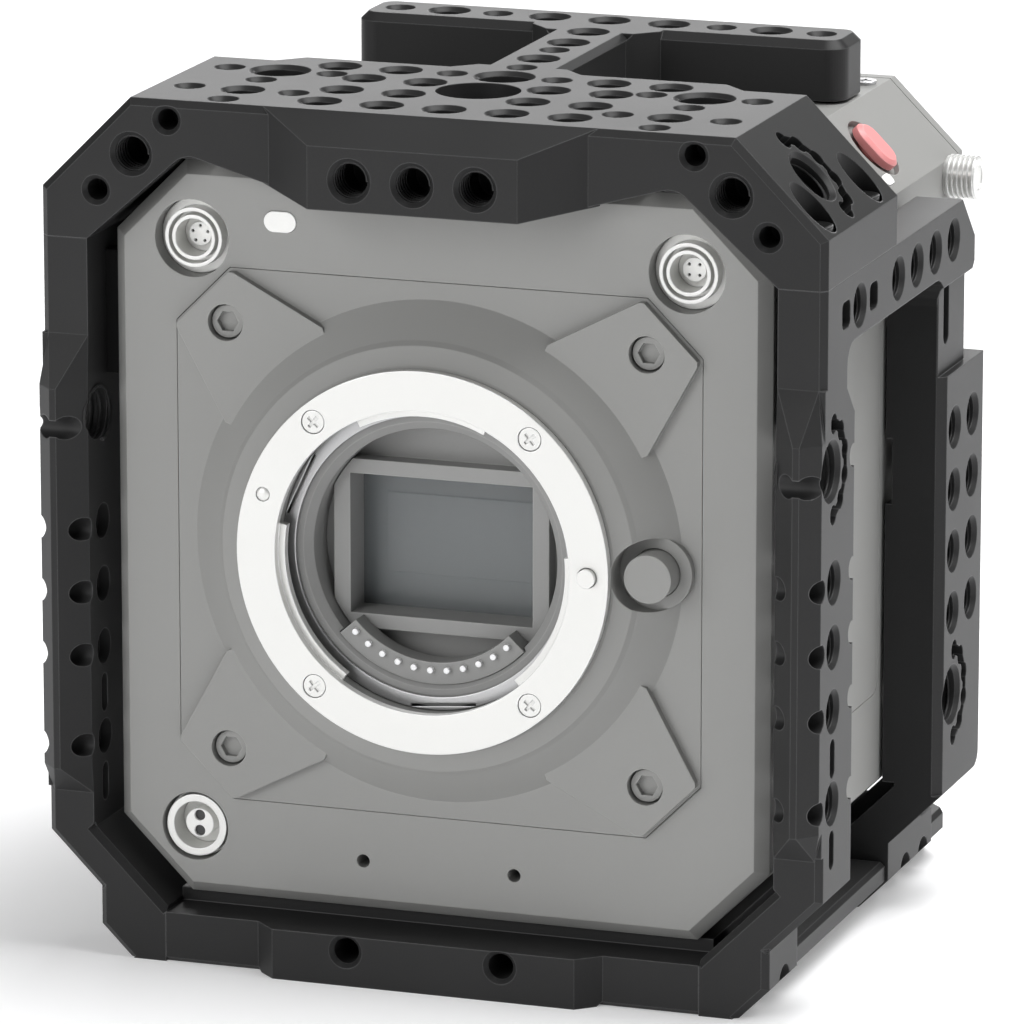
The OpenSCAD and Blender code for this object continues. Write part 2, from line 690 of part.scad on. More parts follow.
module body_shell() {
    color(body_grey) placed() difference() {
        body_outer();
        body_prism(front_wall_y1, shell_y1 + 1, body_wall);
        // Recess for the mount plate and the opening behind it.
        along_y(face_y - 1, plate_y1) polygon(octagon(plate_half_x, plate_half_z, plate_chamfer));
        rod_y(0, 0, ring_r + 1, plate_y1 - 1, front_wall_y1 + 1);
        for (s = [-1, 1], t = [-1, 1])
            rod_y(s * plate_screw_x, t * plate_screw_z, 1.4, face_y, front_wall_y1 + 1);
        for (i = [0:2]) rod_y(conn_places[i][0], conn_places[i][1], conn_recess_d[i] / 2,
            face_y - 1, front_wall_y1 + 1);
        along_y(face_y - 1, front_wall_y1 + 1) translate([-(body_x - 31.2), body_z - 9.5])
            slot_shape(6, 3.75);
        for (s = [-1, 1]) rod_y(s * 14, -(body_z - 9), 1.2, face_y - 1, front_wall_y1 + 1);
        // Seats on the upper right chamfer.
        on_body_chamfer(record_y) translate([0, 0, -body_wall - 4]) cylinder(d = collar_d, h = 20);
        on_body_chamfer(record_y - 5.5) translate([6.2, 0, -10]) linear_extrude(20)
            rotate(90) slot_shape(4.4, 2.4);
        rod_x(antenna_y, antenna_z, 2.9, inner_x - 6, body_x + 1);
        // Right side cover.
        along_x(body_x - 1.5, body_x + 1) translate([cover_mid_y, cover_mid_z])
            round_rect(cover_w, cover_h, 3);
        block(body_x - 0.8, body_x + 1, win_y1 - 5, win_y1 - 2.4, -36, body_z - body_chamfer);
        // Left side: control panel, its cavity, media slot and door.
        along_x(-body_x - 1, -body_x + panel_t) translate([panel_mid_y, panel_mid_z])
            round_rect(panel_w, panel_h, 3);
        block(-body_x - 1, -inner_x + 1, panel_y0 + 4, panel_y1 - 4, panel_z0 + 4, panel_z1 - 4);
        block(-body_x - 1, -body_x + door_t + 0.1, door_y0, door_y1, door_z0, door_z1);
        hinge_cut();
        block(-body_x - 1, -inner_x + 1, media_y0, media_y1, media_z0, media_z1);
        // Video and power sockets.
        for (z = video_z) rod_x(antenna_y, z, 4.85, -body_x - 1, -inner_x + 1);
        rod_x(antenna_y, dc_z, 6.1, -body_x - 1, -inner_x + 1);
        // Threaded inserts in the base and in the top.
        for (y = base_screw_y) rod_z(0, y, 5, -body_z - 1, -inner_z + 1);
        rod_z(0, top_fix_y, 5, inner_z - 1, body_z + 1);
        for (s = [-1, 1]) rod_z(s * (body_x - 16.1), rear_y - 10, 1.25, inner_z - 1, body_z + 1);
        // Air intake slots in the base.
        for (s = [-1, 1], i = [3:7]) block(s * i * 5 - 1.2, s * i * 5 + 1.2, rear_y - 42,
            rear_y - 26, -body_z - 1, -inner_z + 1);
        // Way for the bridge between the lock pin and the release button.
        block(lock_x - 3.5, release_x + 5.5, plate_y1 - 1, front_wall_y1 + 1, -4.7, 4.7);
    }
}

cover_w = 60;
cover_h = 86;
cover_mid_y = face_y + 36;
cover_mid_z = 6.5;
panel_mid_y = (panel_y0 + panel_y1) / 2;
panel_mid_z = (panel_z0 + panel_z1) / 2;
panel_w = panel_y1 - panel_y0;
panel_h = panel_z1 - panel_z0;
media_y0 = panel_mid_y - 17;
media_y1 = panel_mid_y + 17;
media_z0 = door_z0 + 4;
media_z1 = door_z1 - 2;
video_z = [18, 2];
dc_z = -16;

module hinge_cut() {
    rod_y(door_pin_x, door_pin_z, 1.6, door_y0, door_y1);
    rod_y(door_pin_x, door_pin_z, 0.7, door_y0 - 2, door_y1 + 2);
}

module rear_cover() {
    color(body_grey) placed() difference() {
        hull() {
            body_prism(shell_y1 + 0.3, rear_y - 1);
            body_prism(rear_y - eps, rear_y, 1);
        }
        for (s = [-1, 1], t = [-1, 1])
            rod_y(s * spacer_x, t * spacer_z, 1.6, shell_y1 - 1, rear_y + 1);
        for (s = [-1, 1], i = [0:7]) translate([s * 48.5, 0, i * 5 - 17.5])
            block(-3.6, 3.6, shell_y1, rear_y + 1, -1.1, 1.1);
    }
}

module rear_gasket() {
    color("black") placed() difference() {
        body_prism(shell_y1, shell_y1 + 0.3, 0.6);
        body_prism(shell_y1 - 1, shell_y1 + 1.3, body_wall);
    }
}

module rear_cover_screws() {
    color("silver") placed() {
        for (s = [-1, 1]) translate([s * (body_x - 16.1), rear_y - 10, body_z + 0.6])
            cross_screw(2.4, 4.6, 0.6, 6);
        for (s = [-1, 1], t = [-1, 1]) translate([s * spacer_x, rear_y + 1, t * spacer_z])
            rotate([-90, 0, 0]) cross_screw(3, 5.4, 1, 9);
    }
}

// Lens mount -------------------------------------------------------------

pad_y = face_y - 1.6;

module corner_pad() {
    r = boss_base_r - 1;
    along_y(pad_y, plate_y1) polygon([[plate_half_x, plate_half_z - plate_chamfer],
        [plate_half_x - plate_chamfer, plate_half_z],
        [r * cos(62), r * sin(62)], [r * cos(58) - 6, r * sin(58) - 8],
        [r * cos(32) - 8, r * sin(32) - 6], [r * cos(28), r * sin(28)]]);
}

module mount_plate() {
    gap = 0.12;
    color(dark_grey) placed() difference() {
        union() {
            along_y(face_y, plate_y1)
                polygon(octagon_in(plate_half_x, plate_half_z, plate_chamfer, gap));
            intersection() {
                along_y(pad_y - 1, plate_y1)
                    polygon(octagon_in(plate_half_x, plate_half_z, plate_chamfer, gap + 0.5));
                for (a = [0, 1], b = [0, 1]) mirror([a, 0, 0]) mirror([0, 0, b]) corner_pad();
            }
            rotate([90, 0, 0]) mirror([0, 0, 1]) rotate_extrude() polygon([[throat_r - 5, seat_y + 6],
                [throat_r + 0.5, seat_y + 6], [throat_r + 0.5, seat_y], [ring_r + 0.6, seat_y],
                [boss_step_r - 0.8, seat_y + 1.2], [boss_step_r, seat_y + 2],
                [boss_base_r, face_y], [boss_base_r, plate_y1], [ring_r + 0.9, plate_y1],
                [ring_r + 0.9, front_wall_y1], [throat_r - 5, front_wall_y1]]);
        }
        rod_y(0, 0, throat_r - 4, 0, front_wall_y1 + 1);
        for (s = [-1, 1], t = [-1, 1]) {
            rod_y(s * plate_screw_x, t * plate_screw_z, 3.25, pad_y - 1, pad_y + 3.1);
            rod_y(s * plate_screw_x, t * plate_screw_z, 1.45, pad_y, plate_y1 + 1);
        }
        for (a = ring_screw_angles)
            rod_y(ring_screw_r * cos(a), ring_screw_r * sin(a), 1.05, seat_y - 1, seat_y + 5);
        rod_y(lock_x, 0, 1.65 + slide_gap, seat_y - 1, front_wall_y1 + 1);
        rod_y(release_x, 0, 6.5, 0, face_y + 0.6);
        rod_y(release_x, 0, 4.6, 0, front_wall_y1 + 1);
        // Bridge channel between the lock pin and the release button.
        block(lock_x, release_x, bridge_y0 - 0.4, front_wall_y1 + 1, -2.6, 2.6);
        rod_y(lock_x, 0, 2.6, bridge_y0 - 0.4, front_wall_y1 + 1);
    }
}

module mount_plate_screws() {
    color(dark_grey) placed() for (s = [-1, 1], t = [-1, 1])
        translate([s * plate_screw_x, pad_y + 1.2, t * plate_screw_z]) rotate([90, 0, 0])
            cap_screw(2.7, 5.8, 1.9, 5.6, 4);
}

module flange_shim() {
    color("silver") placed() difference() {
        rod_y(0, 0, ring_r - 0.4, ring_t, ring_t + shim_t);
        rod_y(0, 0, throat_r + 0.5, 0, 5);
        for (a = ring_screw_angles)
            rod_y(ring_screw_r * cos(a), ring_screw_r * sin(a), 1.2, 0, 5);
        rod_y(lock_x, 0, 2, 0, 5);
    }
}

// Middle angle and sweep of each lug.
lugs = [[91, 52], [203, 66], [338, 56]];

module lens_mount_ring() {
    color(bright) placed() difference() {
        union() {
            difference() {
                rod_y(0, 0, ring_r, 0, ring_t);
                rod_y(0, 0, throat_r, -1, ring_t + 1);
            }
            // Three bayonet lugs behind the face.
            for (lug = lugs) intersection() {
                difference() {
                    rod_y(0, 0, throat_r + 0.45, ring_t - eps, seat_y + 1.3);
                    rod_y(0, 0, throat_r - 1.3, 0, seat_y + 4);
                }
                rotate([0, -lug[0], 0]) along_y(0, seat_y + 3) polygon([[0, 0],
                    [60 * cos(lug[1] / 2), -60 * sin(lug[1] / 2)],
                    [60 * cos(lug[1] / 2), 60 * sin(lug[1] / 2)]]);
            }
        }
        for (a = ring_screw_angles) {
            rod_y(ring_screw_r * cos(a), ring_screw_r * sin(a), 1.15, -1, 5);
            rod_y(ring_screw_r * cos(a), ring_screw_r * sin(a), 2.15, -1, 0.9);
        }
        rod_y(lock_x, 0, 1.65 + slide_gap, -1, 5);
        rod_y(-ring_screw_r * cos(19), ring_screw_r * sin(19), 1.3, -1, 0.5);
    }
}

module mount_ring_screws() {
    color(bright) placed() for (a = ring_screw_angles)
        translate([ring_screw_r * cos(a), 0.15, ring_screw_r * sin(a)]) rotate([90, a, 0])
            cross_screw(2, 4, 0.75, 5);
}

module bayonet_spring() {
    color("silver") placed() difference() {
        rod_y(0, 0, throat_r + 0.3, seat_y + 3.2, seat_y + 3.6);
        rod_y(0, 0, throat_r - 2, 0, 20);
        for (a = [35, 155, 275]) rotate([0, -a, 0]) block(throat_r - 0.9, throat_r - 0.4,
            0, 20, -6, 6);
    }
}

module throat_ring() {
    color(black) placed() difference() {
        rotate([90, 0, 0]) mirror([0, 0, 1]) rotate_extrude() polygon([[throat_r - 3.2, seat_y + 4],
            [throat_r - 0.2, seat_y + 4], [throat_r - 0.2, seat_y + 6], [throat_r - 4, seat_y + 6],
            [throat_r - 4, front_wall_y1], [throat_r - 4.6, front_wall_y1],
            [throat_r - 4.6, seat_y + 5.4]]);
        contact_sector();
    }
}

pin_circle_r = throat_r - 6.6;
contact_sweep = 96;
contact_mid = 91;

module contact_sector() {
    intersection() {
        rod_y(0, 0, throat_r - 3.9, 0, front_wall_y1 + 1);
        rotate([0, contact_mid, 0]) along_y(-1, front_wall_y1 + 2) polygon([
            [0, 0], [60 * cos(contact_sweep / 2), -60 * sin(contact_sweep / 2)],
            [60 * cos(contact_sweep / 2), 60 * sin(contact_sweep / 2)]]);
    }
}

contact_y = seat_y + 4.4;
pin_count = 11;
pin_angles = [for (i = [0:pin_count - 1]) -contact_mid + (i - (pin_count - 1) / 2) * 8.6];

module contact_block() {
    color([0.2, 0.2, 0.21]) placed() difference() {
        intersection() {
            difference() {
                rod_y(0, 0, throat_r - 4, contact_y, contact_y + 4);
                rod_y(0, 0, throat_r - 7.9, 0, 30);
            }
            rotate([0, contact_mid, 0]) along_y(contact_y - 1, contact_y + 6) polygon([[0, 0],
                [60 * cos(contact_sweep / 2 - 0.5), -60 * sin(contact_sweep / 2 - 0.5)],
                [60 * cos(contact_sweep / 2 - 0.5), 60 * sin(contact_sweep / 2 - 0.5)]]);
        }
        for (a = pin_angles)
            rod_y(pin_circle_r * cos(a), pin_circle_r * sin(a), 0.55, 0, 30);
    }
}

module contact_pins() {
    color("gold") placed() for (a = pin_angles)
        rod_y(pin_circle_r * cos(a), pin_circle_r * sin(a), 0.55, contact_y - 0.8, contact_y + 4);
}

// The bridge lies behind the plate's web and carries the pin; the button presses it.
bridge_y0 = face_y + 1.6;
bridge_t = 1.4;

module lock_pin() {
    color(bright) placed() {
        rod_y(lock_x, 0, 1.65, -1, bridge_y0 + eps);
        block(lock_x, release_x, bridge_y0, bridge_y0 + bridge_t, -2, 2);
        rod_y(lock_x, 0, 2, bridge_y0, bridge_y0 + bridge_t);
        rod_y(release_x, 0, 4, bridge_y0, bridge_y0 + bridge_t);
    }
}

module release_boss() {
    color(dark_grey) placed() difference() {
        rod_y(release_x, 0, 6.5, face_y - 1.4, face_y + 0.6);
        rod_y(release_x, 0, 4.25 + slide_gap, 0, 30);
    }
}

module release_button() {
    color(dark_grey) placed() rod_y(release_x, 0, 4.25, face_y - 6.2, bridge_y0 - 0.05);
}

// Light path and sensor --------------------------------------------------

window_x = 16.8;
window_z = 12.5;
baffle_y0 = flange_depth - 9.6;

module sensor_baffle() {
    color([0.3, 0.3, 0.3]) placed() difference() {
        union() {
            intersection() {
                block(-window_x - 3, window_x + 3, baffle_y0, flange_depth + 0.6, -window_z - 2.6,
                    window_z + 2.6);
                union() {
                    rod_y(0, 0, throat_r - 4.8, baffle_y0 - 1, front_wall_y1 + 0.4);
                    rod_y(0, 0, throat_r + 2, front_wall_y1 + 0.2, flange_depth + 1);
                }
            }
            // Round flange that closes the throat behind the front wall.
            rod_y(0, 0, throat_r - 1.5, front_wall_y1 + 0.3, front_wall_y1 + 1.5);
        }
        block(-window_x, window_x, baffle_y0 - 1, flange_depth + 1, -window_z, window_z);
        block(-window_x - 1.6, window_x + 1.6, flange_depth - 2.8, flange_depth + 1,
            -window_z - 1.4, window_z + 1.4);
    }
}

module filter_glass() {
    color([0.55, 0.6, 0.62]) placed() block(-window_x - 1.5, window_x + 1.5, flange_depth - 2.8,
        flange_depth - 1.4, -window_z - 1.3, window_z + 1.3);
}

module image_sensor() {
    color([0.25, 0.28, 0.27]) placed() {
        block(-window_x - 3.2, window_x + 3.2, flange_depth + 0.6, sensor_board_y,
            -window_z - 3, window_z + 3);
        block(-13.5, 13.5, flange_depth, flange_depth + 0.6, -7.2, 7.2);
    }
}

module board(y, hx, hz) {
    block(-hx, hx, y, y + board_t, -hz, hz);
}

module sensor_board() {
    color(board_green) placed() difference() {
        board(sensor_board_y, spacer_x + 4, spacer_z + 4);
        for (s = [-1, 1]) block(s * 30 - 4, s * 30 + 4, 0, 60, 30, 50);
    }
}

module heat_sink() {
    color("silver") placed() {
        block(-30, 30, sink_y0, sink_y0 + 4, -28, 28);
        for (i = [-7:7]) block(i * 4 - 0.7, i * 4 + 0.7, sink_y0 + 4 - eps, sink_y1, -28, 28);
    }
}

fan_r = 25.4;
fan_hub_r = 9;
fan_shaft_r = 1.5;

module fan_housing() {
    color(black) placed() {
        difference() {
            along_y(sink_y1, fan_y1) round_rect(60, 60, 4);
            rod_y(0, 0, fan_r + 1, sink_y1 - 1, fan_y1 + 1);
        }
        for (a = [20, 140, 260]) rotate([0, a, 0])
            block(7, fan_r + 2, fan_y1 - 2, fan_y1 - 0.4, -1.5, 1.5);
        difference() {
            rod_y(0, 0, fan_hub_r, fan_y1 - 1.8, fan_y1 - 0.2);
            rod_y(0, 0, fan_shaft_r + 0.05, 0, fan_y1 + 1);
        }
    }
}

module fan_rotor() {
    color([0.22, 0.22, 0.24]) placed() {
        rod_y(0, 0, fan_hub_r, sink_y1 + 1.2, fan_y1 - 2.6);
        rod_y(0, 0, fan_shaft_r, fan_y1 - 2.6 - eps, fan_y1 - 0.3);
        for (i = [0:8]) rotate([0, i * 40, 0]) translate([fan_hub_r - 0.5, sink_y1 + 1.6, 0])
            rotate([-38, 0, 0]) cube([fan_r - fan_hub_r, 1, 9]);
    }
}

module main_board() {
    color(board_green) placed() board(main_board_y, 50, 52);
}

module processor_shield() {
    color("silver") placed() difference() {
        block(-20, 20, main_board_y - 4, main_board_y, -20, 20);
        block(-19.5, 19.5, main_board_y - 3.5, main_board_y + 1, -19.5, 19.5);
        for (i = [-3:3], j = [-3:3]) rod_y(i * 5, j * 5, 0.9, main_board_y - 5, main_board_y);
    }
}

module power_board() {
    color(board_green) placed() {
        board(power_board_y, 50, 46);
        for (x = [-26, -9, 8]) block(x, x + 12, power_board_y - 6, power_board_y + eps, 12, 24);
        for (x = [-20, 0, 20]) rod_y(x, -10, 4, power_board_y - 10, power_board_y + eps);
    }
}

module board_spacers() {
    color("goldenrod") placed() for (s = [-1, 1], t = [-1, 1],
            y = [[front_wall_y1, sensor_board_y], [sensor_board_y + board_t, main_board_y],
                [main_board_y + board_t, power_board_y], [power_board_y + board_t, shell_y1 + 0.3]])
        difference() {
            translate([s * spacer_x, y[1], t * spacer_z]) rotate([90, 0, 0])
                cylinder(d = 6, h = y[1] - y[0], $fn = 6);
            rod_y(s * spacer_x, t * spacer_z, 1.6, y[1] - 5, y[1] + 1);
        }
}

// Sockets, windows and buttons -------------------------------------------

// Two thin rims stand in the recess of each round socket; the low one has a thick one.
module connector_shells() {
    color(bright) placed() for (i = [0:2]) translate([conn_places[i][0], 0, conn_places[i][1]])
        difference() {
            union() {
                rod_y(0, 0, i == 2 ? 5.6 : 5.3, conn_rim_y, front_wall_y1 + 6);
                rod_y(0, 0, conn_recess_d[i] / 2 - 0.1, conn_flange_y, front_wall_y1 - 0.2);
            }
            if (i < 2) difference() {
                rod_y(0, 0, 4.65, 0, conn_flange_y);
                rod_y(0, 0, 4, 0, conn_flange_y + 1);
            }
            rod_y(0, 0, i == 2 ? 4.3 : 3.35, 0, front_wall_y1 + 3);
        }
}

// Pins stand round a circle in each insert: five, four and two.
conn_pin_count = [5, 4, 2];
conn_pin_r = [0.28, 0.28, 1];
conn_pin_circle = [1.45, 1.32, 1.4];
conn_pin_a = [90, 45, 90];

module socket_pins(i, d, y0, y1) {
    for (k = [0:conn_pin_count[i] - 1]) {
        a = conn_pin_a[i] + k * 360 / conn_pin_count[i];
        rod_y(conn_places[i][0] + conn_pin_circle[i] * cos(a),
            conn_places[i][1] + conn_pin_circle[i] * sin(a), conn_pin_r[i] + d, y0, y1);
    }
}

module connector_inserts() {
    color(bright) placed() for (i = [0:2]) difference() {
        translate([conn_places[i][0], 0, conn_places[i][1]]) {
            rod_y(0, 0, conn_insert_r[i], conn_insert_y[i], front_wall_y1 + 1);
            rod_y(0, 0, i == 2 ? 4.25 : 3.3, front_wall_y1 + 0.4, front_wall_y1 + 2.8);
        }
        socket_pins(i, 0, 0, front_wall_y1 + 5);
    }
}

module connector_pins() {
    color("gold") placed() for (i = [0:2])
        socket_pins(i, 0, conn_insert_y[i] + 0.5, front_wall_y1 + 2.9);
}

module tally_lens() {
    color("white") placed() along_y(face_y - 0.2, front_wall_y1)
        translate([-(body_x - 31.2), body_z - 9.5]) slot_shape(5.9, 3.65);
}

module record_collar() {
    color(body_grey) placed() on_body_chamfer(record_y) difference() {
        translate([0, 0, -body_wall - 2]) cylinder(d = collar_d - 0.1, h = body_wall + 2 + record_top);
        translate([0, 0, record_top - 3.1]) cylinder(d = 5 + 2 * slide_gap, h = 10);
        translate([0, 0, -9]) cylinder(d = 3, h = 10);
    }
}

// Oblong cap on a stem: it sinks by its travel and stops on the collar.
module record_cap(z0, z1, d) {
    translate([0, 0, record_top + record_travel + z0]) linear_extrude(z1 - z0)
        slot_shape(record_d - 2 * d, record_d * 0.64 - 2 * d);
}

module record_button() {
    color([0.93, 0.5, 0.52]) placed() on_body_chamfer(record_y) {
        hull() {
            record_cap(0, 1.3, 0);
            record_cap(1.3, 2, 0.8);
        }
        translate([0, 0, record_top - 3 + record_travel]) cylinder(d = 5, h = 3.2);
    }
}

module status_window() {
    color("white") placed() on_body_chamfer(record_y - 5.5) translate([6.2, 0, -body_wall])
        linear_extrude(body_wall + 0.1) rotate(90) slot_shape(4.3, 2.3);
}

module antenna_connector() {
    color(bright) placed() difference() {
        union() {
            rod_x(antenna_y, antenna_z, 2.7, inner_x - 3, body_x + 1);
            rod_x(antenna_y, antenna_z, 3.7, body_x, body_x + 5.8);
        }
        rod_x(antenna_y, antenna_z, 2.2, body_x + 1.5, body_x + 10);
    }
}

module side_cover() {
    color(body_grey) placed() along_x(body_x - 1.5, body_x) translate([cover_mid_y, cover_mid_z])
        round_rect(cover_w - 0.4, cover_h - 0.4, 2.8);
}

module control_panel() {
    color(dark_grey) placed() difference() {
        along_x(-body_x, -body_x + panel_t) translate([panel_mid_y, panel_mid_z])
            round_rect(panel_w - 0.3, panel_h - 0.3, 2.85);
        along_x(-body_x - 1, -body_x + 0.9) translate([panel_mid_y, display_z])
            round_rect(display_w, display_h, 1.5);
        for (y = key_y, z = key_z) rod_x(y, z, key_r + slide_gap, -body_x - 1, -body_x + 4);
    }
}

display_w = 38;
display_h = 26;
display_z = panel_z1 - 18;

module display_glass() {
    color([0.08, 0.09, 0.1]) placed() along_x(-body_x + 0.05, -body_x + 0.9)
        translate([panel_mid_y, display_z]) round_rect(display_w - 0.2, display_h - 0.2, 1.4);
}

// A key with a flange behind the panel that keeps it from falling out.
module menu_key(i, j) {
    color([0.5, 0.5, 0.5]) placed() {
        rod_x(key_y[i], key_z[j], key_r, -body_x - 0.9, -body_x + panel_t + 0.3);
        rod_x(key_y[i], key_z[j], key_r + 0.8, -body_x + panel_t + 0.05, -body_x + panel_t + 1);
    }
}

module key_up() { menu_key(0, 1); }
module key_down() { menu_key(0, 0); }
module key_enter() { menu_key(1, 1); }
module key_back() { menu_key(1, 0); }

media_depth = 39;

module media_slot() {
    color("silver") placed() difference() {
        block(-inner_x - 0.8, -inner_x + media_depth, media_y0 + 0.1, media_y1 - 0.1,
            media_z0 + 0.1, media_z1 - 0.1);
        block(-body_x, -inner_x + media_depth - 2, media_y0 + 1.5, media_y1 - 1.5,
            media_z0 + 1.6, media_z1 - 1.4);
    }
}

// The door lies flush in the side and turns out about a pin along its lower edge.
module media_door() {
    c = 0.25;
    color(body_grey) placed() difference() {
        union() {
            block(-body_x, -body_x + door_t - 0.2, door_y0 + c, door_y1 - c, door_pin_z, door_z1 - c);
            rod_y(door_pin_x, door_pin_z, 1.3, door_y0 + c, door_y1 - c);
        }
        rod_y(door_pin_x, door_pin_z, 0.75, door_y0 - 1, door_y1 + 1);
        along_x(-body_x - 1, -body_x + 0.7) translate([panel_mid_y, door_z1 - 3]) slot_shape(10, 2);
    }
}

module media_door_pin() {
    color("silver") placed() rod_y(door_pin_x, door_pin_z, 0.7, door_y0 - 2, door_y1 + 2);
}

module video_connectors() {
    color(bright) placed() for (z = video_z) difference() {
        union() {
            rod_x(antenna_y, z, 4.8, -body_x - 9, -inner_x + 4);
            rod_x(antenna_y, z, 6.6, -body_x - 1.4, -body_x);
            rod_z(-body_x - 6, antenna_y, 1, z - 5.6, z + 5.6);
        }
        difference() {
            rod_x(antenna_y, z, 3.6, -body_x - 10, -body_x - 0.5);
            rod_x(antenna_y, z, 1.9, -body_x - 7, -body_x);
        }
        rod_x(antenna_y, z, 0.6, -body_x - 10, -body_x - 4);
    }
}

module power_connector() {
    color(bright) placed() difference() {
        union() {
            rod_x(antenna_y, dc_z, 6, -body_x - 4, -inner_x + 5);
            rod_x(antenna_y, dc_z, 7.4, -body_x - 1.4, -body_x);
        }
        rod_x(antenna_y, dc_z, 4.6, -body_x - 5, -body_x);
    }
}

// Rear battery plate -----------------------------------------------------

bat_half_x = 38;
bat_half_z = 44;

module battery_plate() {
    wedge_y = rear_y + battery_d;
    color(black) placed() difference() {
        union() {
            along_y(rear_y, rear_y + 4) round_rect(2 * bat_half_x, 2 * bat_half_z, 5);
            for (s = [-1, 1]) along_y(rear_y + 4 - eps, wedge_y) polygon([
                [s * (bat_half_x - 2), 30], [s * (bat_half_x - 2), -26], [s * 16, -40],
                [s * 11, -34], [s * 23, -20], [s * 27, 30]]);
        }
        block(-26, -14, rear_y + 1, rear_y + 5, 6, 26);
        block(bat_half_x - 8.4, bat_half_x + 1, rear_y + 0.8, rear_y + 3.2, 33.7, 40.3);
        for (s = [-1, 1], t = [-1, 1]) rod_y(s * 20, t * 33 + 4, 1.8, rear_y - 1, rear_y + 5);
    }
}

module battery_contacts() {
    color("gold") placed() for (i = [0:3])
        block(-24.6 + i * 2.6, -23.4 + i * 2.6, rear_y + 1, rear_y + 6.5, 10, 22);
}

module battery_release() {
    color([0.75, 0.2, 0.2]) placed() {
        block(bat_half_x - 6, bat_half_x + 2.5, rear_y + 0.95, rear_y + 3.05, 34, 40);
    }
}

module thread_inserts() {
    color("goldenrod") placed() {
        for (y = base_screw_y) difference() {
            rod_z(0, y, 5, -body_z, -inner_z + 3.5);
            rod_z(0, y, 3.2, -body_z - 1, -inner_z + 2.9);
        }
        difference() {
            rod_z(0, top_fix_y, 5, inner_z - 3.5, body_z);
            rod_z(0, top_fix_y, 3.2, inner_z - 2.9, body_z + 1);
        }
    }
}

cage_top_plate();
cage_side_left();
cage_side_right();
cage_base_plate();
cage_top_screws();
cage_base_screws();
camera_clamp_screws();
top_fixing_screw();
cage_pads();
body_shell();
rear_cover();
rear_gasket();
rear_cover_screws();
mount_plate();
mount_plate_screws();
flange_shim();
lens_mount_ring();
mount_ring_screws();
bayonet_spring();
lock_pin();
release_button();
release_boss();
contact_block();
contact_pins();
throat_ring();
sensor_baffle();
filter_glass();
image_sensor();
sensor_board();
heat_sink();
fan_housing();
fan_rotor();
main_board();
processor_shield();
power_board();
board_spacers();
connector_shells();
connector_inserts();
connector_pins();
tally_lens();
record_collar();
record_button();
status_window();
antenna_connector();
side_cover();
control_panel();
display_glass();
key_up();
key_down();
key_enter();
key_back();
media_slot();
media_door();
media_door_pin();
video_connectors();
power_connector();
battery_plate();
battery_contacts();
battery_release();
thread_inserts();
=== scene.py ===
"""Looks for the caged cinema camera. Lengths are in metres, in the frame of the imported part."""

import json
import math

import bmesh
import bpy
from mathutils import Matrix, Vector


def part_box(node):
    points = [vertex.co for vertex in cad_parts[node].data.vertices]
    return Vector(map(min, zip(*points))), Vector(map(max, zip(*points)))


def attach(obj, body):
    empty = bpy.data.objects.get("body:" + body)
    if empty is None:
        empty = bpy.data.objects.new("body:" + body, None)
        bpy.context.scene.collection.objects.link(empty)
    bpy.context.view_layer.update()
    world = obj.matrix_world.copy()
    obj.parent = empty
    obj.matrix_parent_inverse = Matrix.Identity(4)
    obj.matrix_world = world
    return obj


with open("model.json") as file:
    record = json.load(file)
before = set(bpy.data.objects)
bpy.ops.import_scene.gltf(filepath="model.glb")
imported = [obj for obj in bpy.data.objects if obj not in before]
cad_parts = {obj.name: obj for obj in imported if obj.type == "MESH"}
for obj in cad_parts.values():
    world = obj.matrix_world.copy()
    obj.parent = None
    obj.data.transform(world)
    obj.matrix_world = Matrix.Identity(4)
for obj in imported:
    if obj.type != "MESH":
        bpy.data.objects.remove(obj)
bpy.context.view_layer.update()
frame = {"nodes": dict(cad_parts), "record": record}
NODES = frame["nodes"]
RECORD = frame["record"]
MM = 0.001

ring_low, ring_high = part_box("lens_mount_ring")
LENS_Y = ring_low[1]
LENS_Z = (ring_low[2] + ring_high[2]) / 2


def at(x, y, z):
    """A place in millimetres from the lens seat's centre, as a place in the frame."""
    return Vector((x * MM, LENS_Y + y * MM, LENS_Z + z * MM))


# ---------------------------------------------------------------- node helpers

def group(name, inputs, outputs):
    """An empty shader group: inputs are (label, kind, value), outputs are (label, kind)."""
    tree = bpy.data.node_groups.new(name, "ShaderNodeTree")
    for label, kind, value in inputs:
        socket = tree.interface.new_socket(label, in_out="INPUT", socket_type=kind)
        if value is not None:
            socket.default_value = value
    for label, kind in outputs:
        tree.interface.new_socket(label, in_out="OUTPUT", socket_type=kind)
    return tree, tree.nodes.new("NodeGroupInput"), tree.nodes.new("NodeGroupOutput")


def math_node(tree, operation, a, b=None, c=None, clamp=False):
    """One math node fed by numbers or sockets; returns its output."""
    node = tree.nodes.new("ShaderNodeMath")
    node.operation = operation
    node.use_clamp = clamp
    for socket, value in zip(node.inputs, (a, b, c)):
        if value is None:
            continue
        if isinstance(value, (int, float)):
            socket.default_value = value
        else:
            tree.links.new(value, socket)
    return node.outputs[0]


